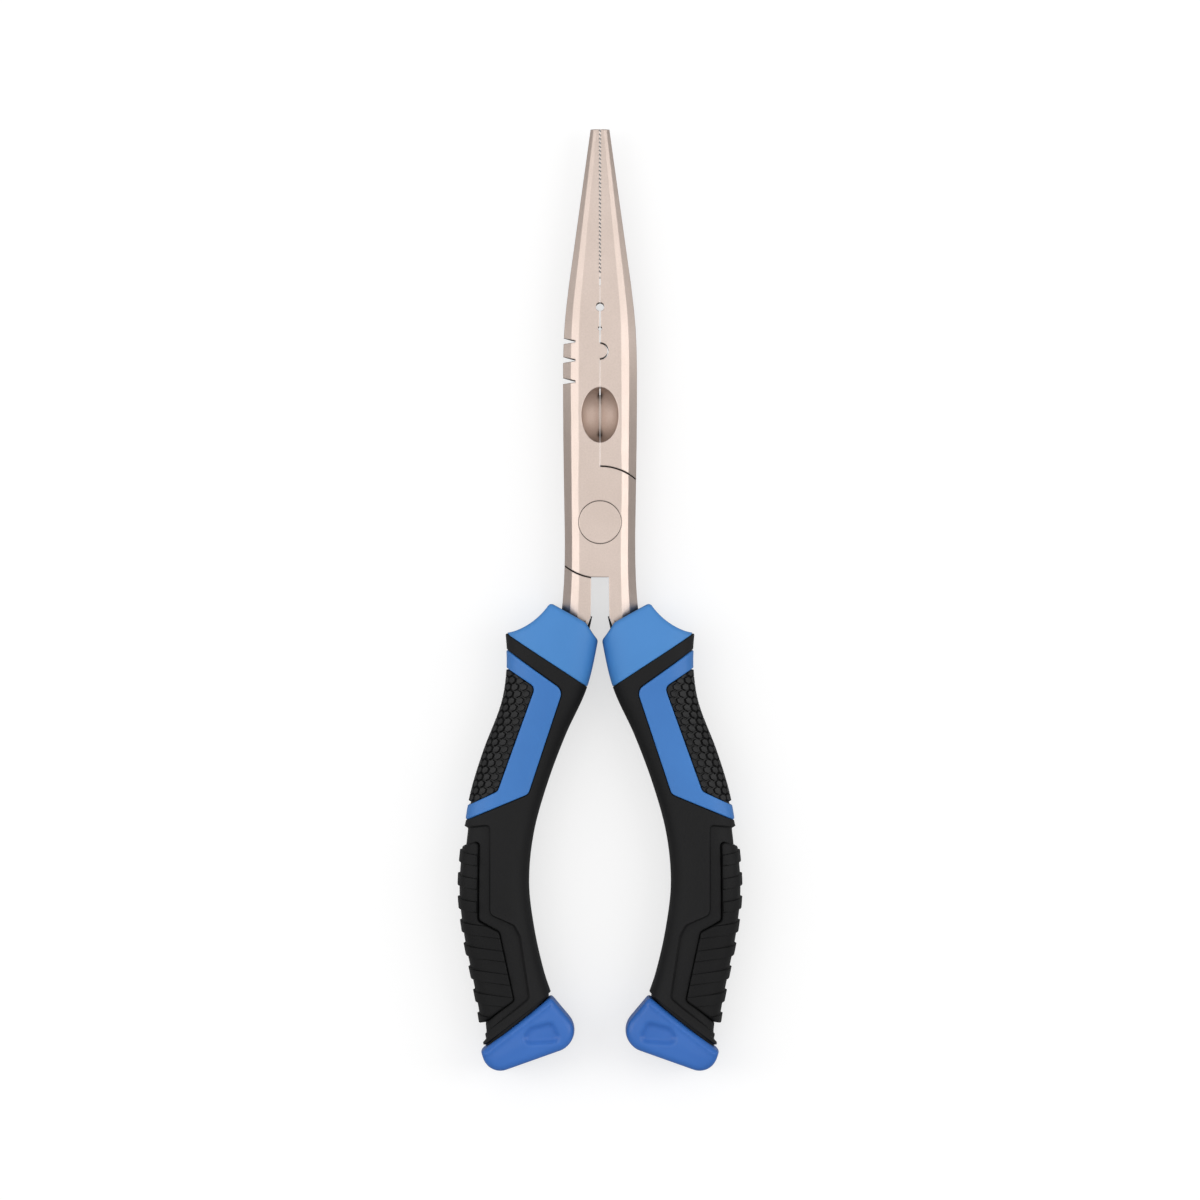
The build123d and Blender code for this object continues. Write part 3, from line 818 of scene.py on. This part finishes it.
def noise(nodes, links, scale, detail=4.0, stretch=(1, 1, 1)):
    """Noise texture in object space; returns its factor."""
    place = nodes.new("ShaderNodeTexCoord")
    mapping = nodes.new("ShaderNodeMapping")
    mapping.inputs["Scale"].default_value = stretch
    texture = nodes.new("ShaderNodeTexNoise")
    texture.inputs["Scale"].default_value = scale
    texture.inputs["Detail"].default_value = detail
    links.new(place.outputs["Object"], mapping.inputs["Vector"])
    links.new(mapping.outputs["Vector"], texture.inputs["Vector"])
    return texture.outputs["Fac"]


def remap(nodes, links, value, low, high, from_low=0.3, from_high=0.7):
    """A factor stretched to run from low to high."""
    node = nodes.new("ShaderNodeMapRange")
    node.inputs["From Min"].default_value = from_low
    node.inputs["From Max"].default_value = from_high
    node.inputs["To Min"].default_value = low
    node.inputs["To Max"].default_value = high
    links.new(value, node.inputs["Value"])
    return node.outputs["Result"]


def tint(nodes, links, factor, dark, light):
    """A colour between dark and light, by factor."""
    ramp = nodes.new("ShaderNodeValToRGB")
    ramp.color_ramp.elements[0].color = (*dark, 1)
    ramp.color_ramp.elements[1].color = (*light, 1)
    ramp.color_ramp.elements[0].position = 0.3
    ramp.color_ramp.elements[1].position = 0.7
    links.new(factor, ramp.inputs["Fac"])
    return ramp.outputs["Color"]


def bump(nodes, links, shader, height, strength, distance_mm):
    """Fine relief on a shader from a height factor."""
    node = nodes.new("ShaderNodeBump")
    node.inputs["Strength"].default_value = strength
    node.inputs["Distance"].default_value = distance_mm * MM
    links.new(height, node.inputs["Height"])
    links.new(node.outputs["Normal"], shader.inputs["Normal"])
    return node


STEEL_DARK = (0.545, 0.452, 0.398)
STEEL_LIGHT = (0.645, 0.54, 0.485)
STEEL_EDGE = 0.35           # radius that the forging's edges look worn to, mm
STEEL_RELIEF = 0.03         # height of the blasted grain, mm
GRAIN_SHARE = 0.55          # how much of the colour's variation is fine grain, not clouding
LINE_SHARE = 0.5            # how strong the grinding lines are beside the grain
CREVICE_REACH = 1.6         # steel closer than this paints shade on the steel opposite, mm
CREVICE_SHADE = 0.12        # brightness the painted shade leaves in the tightest crevice


def paint_crevice_shade(nodes, links, colour):
    """The colour with painted shade: darkened where other steel stands close by, between the teeth, in
    slits and bowls.
    """
    nearby = nodes.new("ShaderNodeAmbientOcclusion")
    nearby.samples = 8
    nearby.inputs["Distance"].default_value = CREVICE_REACH * MM
    shade = nodes.new("ShaderNodeVectorMath")
    shade.operation = "SCALE"
    links.new(colour, shade.inputs[0])
    brightness = remap(nodes, links, nearby.outputs["AO"], CREVICE_SHADE, 1.0, from_low=0.35, from_high=0.9)
    links.new(brightness, shade.inputs["Scale"])
    return shade.outputs["Vector"]


def steel_material():
    """Satin nickel over finely blasted steel, with faint grinding lines along the jaws."""
    material, nodes, links, shader = new_material("satin_nickel")
    cloud = noise(nodes, links, scale=60, detail=5)
    grain = noise(nodes, links, scale=2400, detail=3)
    lines = noise(nodes, links, scale=900, detail=3, stretch=(3.0, 0.25, 3.0))
    speckle = nodes.new("ShaderNodeMix")
    speckle.inputs["Factor"].default_value = GRAIN_SHARE
    links.new(cloud, speckle.inputs["A"])
    links.new(grain, speckle.inputs["B"])
    colour = tint(nodes, links, speckle.outputs["Result"], STEEL_DARK, STEEL_LIGHT)
    # Painted shade: the steel's colour is darkened in its crevices by an ambient occlusion mask.
    links.new(paint_crevice_shade(nodes, links, colour), shader.inputs["Base Color"])
    shader.inputs["Metallic"].default_value = 1.0
    texture = nodes.new("ShaderNodeMath")
    texture.operation = "MULTIPLY_ADD"
    links.new(lines, texture.inputs[0])
    texture.inputs[1].default_value = LINE_SHARE
    links.new(grain, texture.inputs[2])
    roughness = remap(nodes, links, texture.outputs[0], 0.36, 0.47, from_low=0.5, from_high=1.0)
    links.new(roughness, shader.inputs["Roughness"])
    relief = bump(nodes, links, shader, texture.outputs[0], 0.6, STEEL_RELIEF)
    soften = nodes.new("ShaderNodeBevel")
    soften.samples = 8
    soften.inputs["Radius"].default_value = STEEL_EDGE * MM
    links.new(soften.outputs["Normal"], relief.inputs["Normal"])
    return material


SHEEN_SPREAD = 0.05         # how far a moulding's roughness varies, each way
MOULD_RELIEF = 0.05         # height of a moulding's grain, mm


def plastic_material(name, dark, light, roughness, gloss, grain_scale, grain_strength):
    """Moulded plastic or rubber: slight clouding, spark-eroded grain and uneven sheen."""
    material, nodes, links, shader = new_material(name)
    cloud = noise(nodes, links, scale=45, detail=4)
    grain = noise(nodes, links, scale=grain_scale, detail=3)
    links.new(tint(nodes, links, cloud, dark, light), shader.inputs["Base Color"])
    sheen = remap(nodes, links, cloud, roughness - SHEEN_SPREAD, roughness + SHEEN_SPREAD)
    links.new(sheen, shader.inputs["Roughness"])
    shader.inputs["Specular IOR Level"].default_value = gloss
    bump(nodes, links, shader, grain, grain_strength, MOULD_RELIEF)
    return material


def make_materials():
    """Every material of the pliers, by the name of what it's used for."""
    return {
        "steel": steel_material(),
        "guard": plastic_material(
            "guard_blue", dark=(0.058, 0.225, 0.55), light=(0.070, 0.252, 0.60),
            roughness=0.5, gloss=0.3, grain_scale=2600, grain_strength=0.35,
        ),
        "band": plastic_material(
            "band_blue", dark=(0.041, 0.172, 0.48), light=(0.049, 0.195, 0.53),
            roughness=0.42, gloss=0.3, grain_scale=3200, grain_strength=0.25,
        ),
        "cap": plastic_material(
            "cap_blue", dark=(0.028, 0.128, 0.44), light=(0.036, 0.150, 0.50),
            roughness=0.34, gloss=0.35, grain_scale=3400, grain_strength=0.2,
        ),
        "grip": plastic_material(
            "grip_rubber", dark=(0.0080, 0.0080, 0.0084), light=(0.0110, 0.0110, 0.0114),
            roughness=0.6, gloss=0.16, grain_scale=3000, grain_strength=0.6,
        ),
        # The rib pad is the pad rubber painted darker, as painted shade against the light its ribs catch;
        # its lower gloss is real.
        "ribs": plastic_material(
            "pad_rubber_with_painted_shade", dark=(0.0050, 0.0050, 0.0053), light=(0.0075, 0.0075, 0.0078),
            roughness=0.52, gloss=0.14, grain_scale=2600, grain_strength=0.5,
        ),
        "pad": plastic_material(
            "pad_rubber", dark=(0.0075, 0.0075, 0.0080), light=(0.0115, 0.0115, 0.0120),
            roughness=0.46, gloss=0.26, grain_scale=2600, grain_strength=0.5,
        ),
        "core": plastic_material(
            "core_plastic", dark=(0.008, 0.008, 0.0085), light=(0.011, 0.011, 0.0115),
            roughness=0.55, gloss=0.2, grain_scale=2800, grain_strength=0.4,
        ),
    }


def paint(obj, material):
    """Gives an object one material."""
    obj.data.materials.clear()
    obj.data.materials.append(material)


# ---------------------------------------------------------------- assembly
def place_handles(materials):
    """The right handle's pieces and their turned copies on the left handle, each on its own body."""
    makers = (
        ("guard_collar", make_guard, "guard", "guard_blue"),
        ("side_band", make_band, "band", "band_blue"),
        ("hex_pad", make_hex_pad, "pad", "pad_rubber"),
        ("soft_grip", make_soft_grip, "grip", "grip_rubber"),
        ("rib_pad", make_rib_pad, "ribs", "pad_rubber"),
        ("end_cap", make_cap, "cap", "cap_blue"),
    )
    for name, make, finish, slot in makers:
        right = make()
        right.name = "right_" + name + "_skin"
        paint(right, materials[finish])
        left = right.copy()
        left.data = right.data.copy()
        left.name = "left_" + name + "_skin"
        bpy.context.scene.collection.objects.link(left)
        half_turn_mesh(left.data)
        for obj, side, body in ((right, "right_", "front_half"), (left, "left_", "rear_half")):
            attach(obj, body)
            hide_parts(side + name)


def half_turn_mesh(mesh):
    """Turns a mesh half a turn about the line through the middle of the joint along Y."""
    coords = np.empty(len(mesh.vertices) * 3)
    mesh.vertices.foreach_get("co", coords)
    coords = coords.reshape(-1, 3) * (-1, 1, -1) + (0, 0, 2 * MIDDLE_HEIGHT)
    mesh.vertices.foreach_set("co", coords.ravel())
    mesh.update()


def finish_cad_nodes(materials):
    """The levers, the rivet and the handle cores stay as the CAD has them, with real finishes."""
    finishes = {
        "front_lever": "steel",
        "rear_lever": "steel",
        "pivot_rivet": "steel",
        "right_handle_core": "core",
        "left_handle_core": "core",
    }
    for node, finish in finishes.items():
        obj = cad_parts[node]
        for slot in obj.material_slots:
            slot.material = materials[finish]


# ---------------------------------------------------------------- stage
FLOOR_GAP = 0.4             # the floor is this far below the end caps, mm
FLOOR_HALF = 3.0            # half of the floor's side, metres
FLOOR_SHADE = (0.42, 0.42, 0.42)    # dark enough to throw little light back up
FLOOR_GLOW = 0.6            # only the camera sees the floor's glow
BACKDROP = (0.93, 0.93, 0.93, 1)
SKY_TOP = 0.75              # brightness of the studio straight above, and at the horizon
SKY_HORIZON = 0.4
VIEW_WIDTH = 293.0          # width of the picture at the pliers, mm
VIEW_CENTRE = -19.0         # height of the picture's middle on the pliers, mm
CAMERA_DISTANCE = 1.5       # metres


def camera_only(nodes, links, shown, unseen, output):
    """Sends one shader to the camera and another to light and reflections."""
    path = nodes.new("ShaderNodeLightPath")
    mix = nodes.new("ShaderNodeMixShader")
    links.new(path.outputs["Is Camera Ray"], mix.inputs["Fac"])
    links.new(unseen, mix.inputs[1])
    links.new(shown, mix.inputs[2])
    links.new(mix.outputs["Shader"], output)


def make_floor():
    """Pale floor just under the handles. It glows softly to the camera, so its shadows stay light."""
    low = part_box("right_end_cap")[0].z - FLOOR_GAP * MM
    mesh = bpy.data.meshes.new("floor")
    plan = ((-1, -1), (1, -1), (1, 1), (-1, 1))
    corners = [(x * FLOOR_HALF, y * FLOOR_HALF, low) for x, y in plan]
    mesh.from_pydata(corners, [], [(0, 1, 2, 3)])
    floor = bpy.data.objects.new("floor", mesh)
    bpy.context.scene.collection.objects.link(floor)
    material, nodes, links, shader = new_material("floor_paper")
    shader.inputs["Base Color"].default_value = (*FLOOR_SHADE, 1)
    shader.inputs["Roughness"].default_value = 0.9
    shader.inputs["Specular IOR Level"].default_value = 0.1
    glow = nodes.new("ShaderNodeEmission")
    glow.inputs["Strength"].default_value = FLOOR_GLOW
    add = nodes.new("ShaderNodeAddShader")
    links.new(shader.outputs["BSDF"], add.inputs[0])
    links.new(glow.outputs["Emission"], add.inputs[1])
    camera_only(nodes, links, add.outputs["Shader"], shader.outputs["BSDF"],
                nodes["Material Output"].inputs["Surface"])
    paint(floor, material)


def add_softbox(name, place, size, brightness):
    """Rectangular soft light at place, pointing at the pliers; brightness is what a mirror would show."""
    data = bpy.data.lights.new(name, "AREA")
    data.shape = "RECTANGLE"
    data.size, data.size_y = size
    data.energy = brightness * math.pi * size[0] * size[1]
    light = bpy.data.objects.new(name, data)
    light.location = place
    direction = Vector((0, 0, 0)) - Vector(place)
    light.rotation_euler = direction.to_track_quat("-Z", "Y").to_euler()
    bpy.context.scene.collection.objects.link(light)


def make_lights():
    """Two tall softboxes beside the pliers, a wide one above, and a sky that is brightest overhead."""
    add_softbox("left_softbox", (-0.80, 0.05, 0.50), (0.5, 1.3), 1.7)
    add_softbox("right_softbox", (0.80, 0.05, 0.50), (0.5, 1.3), 1.9)
    add_softbox("top_softbox", (-0.25, 0.35, 1.75), (1.3, 1.3), 0.6)
    world = bpy.data.worlds.new("studio")
    bpy.context.scene.world = world
    world.use_nodes = True
    nodes, links = world.node_tree.nodes, world.node_tree.links
    direction = nodes.new("ShaderNodeTexCoord")
    split = nodes.new("ShaderNodeSeparateXYZ")
    links.new(direction.outputs["Generated"], split.inputs["Vector"])
    studio = nodes["Background"]
    brightness = remap(nodes, links, split.outputs["Z"], SKY_HORIZON, SKY_TOP, from_low=0.0, from_high=1.0)
    links.new(brightness, studio.inputs["Strength"])
    studio.inputs["Color"].default_value = (1, 1, 1, 1)
    backdrop = nodes.new("ShaderNodeBackground")
    backdrop.inputs["Color"].default_value = BACKDROP
    camera_only(nodes, links, backdrop.outputs["Background"], studio.outputs["Background"],
                nodes["World Output"].inputs["Surface"])


def make_camera():
    """Long lens straight above the pliers, jaws at the top, as in the catalogue view."""
    data = bpy.data.cameras.new("camera")
    data.sensor_width = 36
    data.lens = data.sensor_width * CAMERA_DISTANCE / (VIEW_WIDTH * MM)
    camera = bpy.data.objects.new("camera", data)
    camera.location = (0, VIEW_CENTRE * MM, CAMERA_DISTANCE)
    bpy.context.scene.collection.objects.link(camera)
    bpy.context.scene.camera = camera


bpy.context.scene.view_settings.view_transform = "Standard"
MATERIALS = make_materials()
finish_cad_nodes(MATERIALS)
place_handles(MATERIALS)
make_floor()
make_lights()
make_camera()
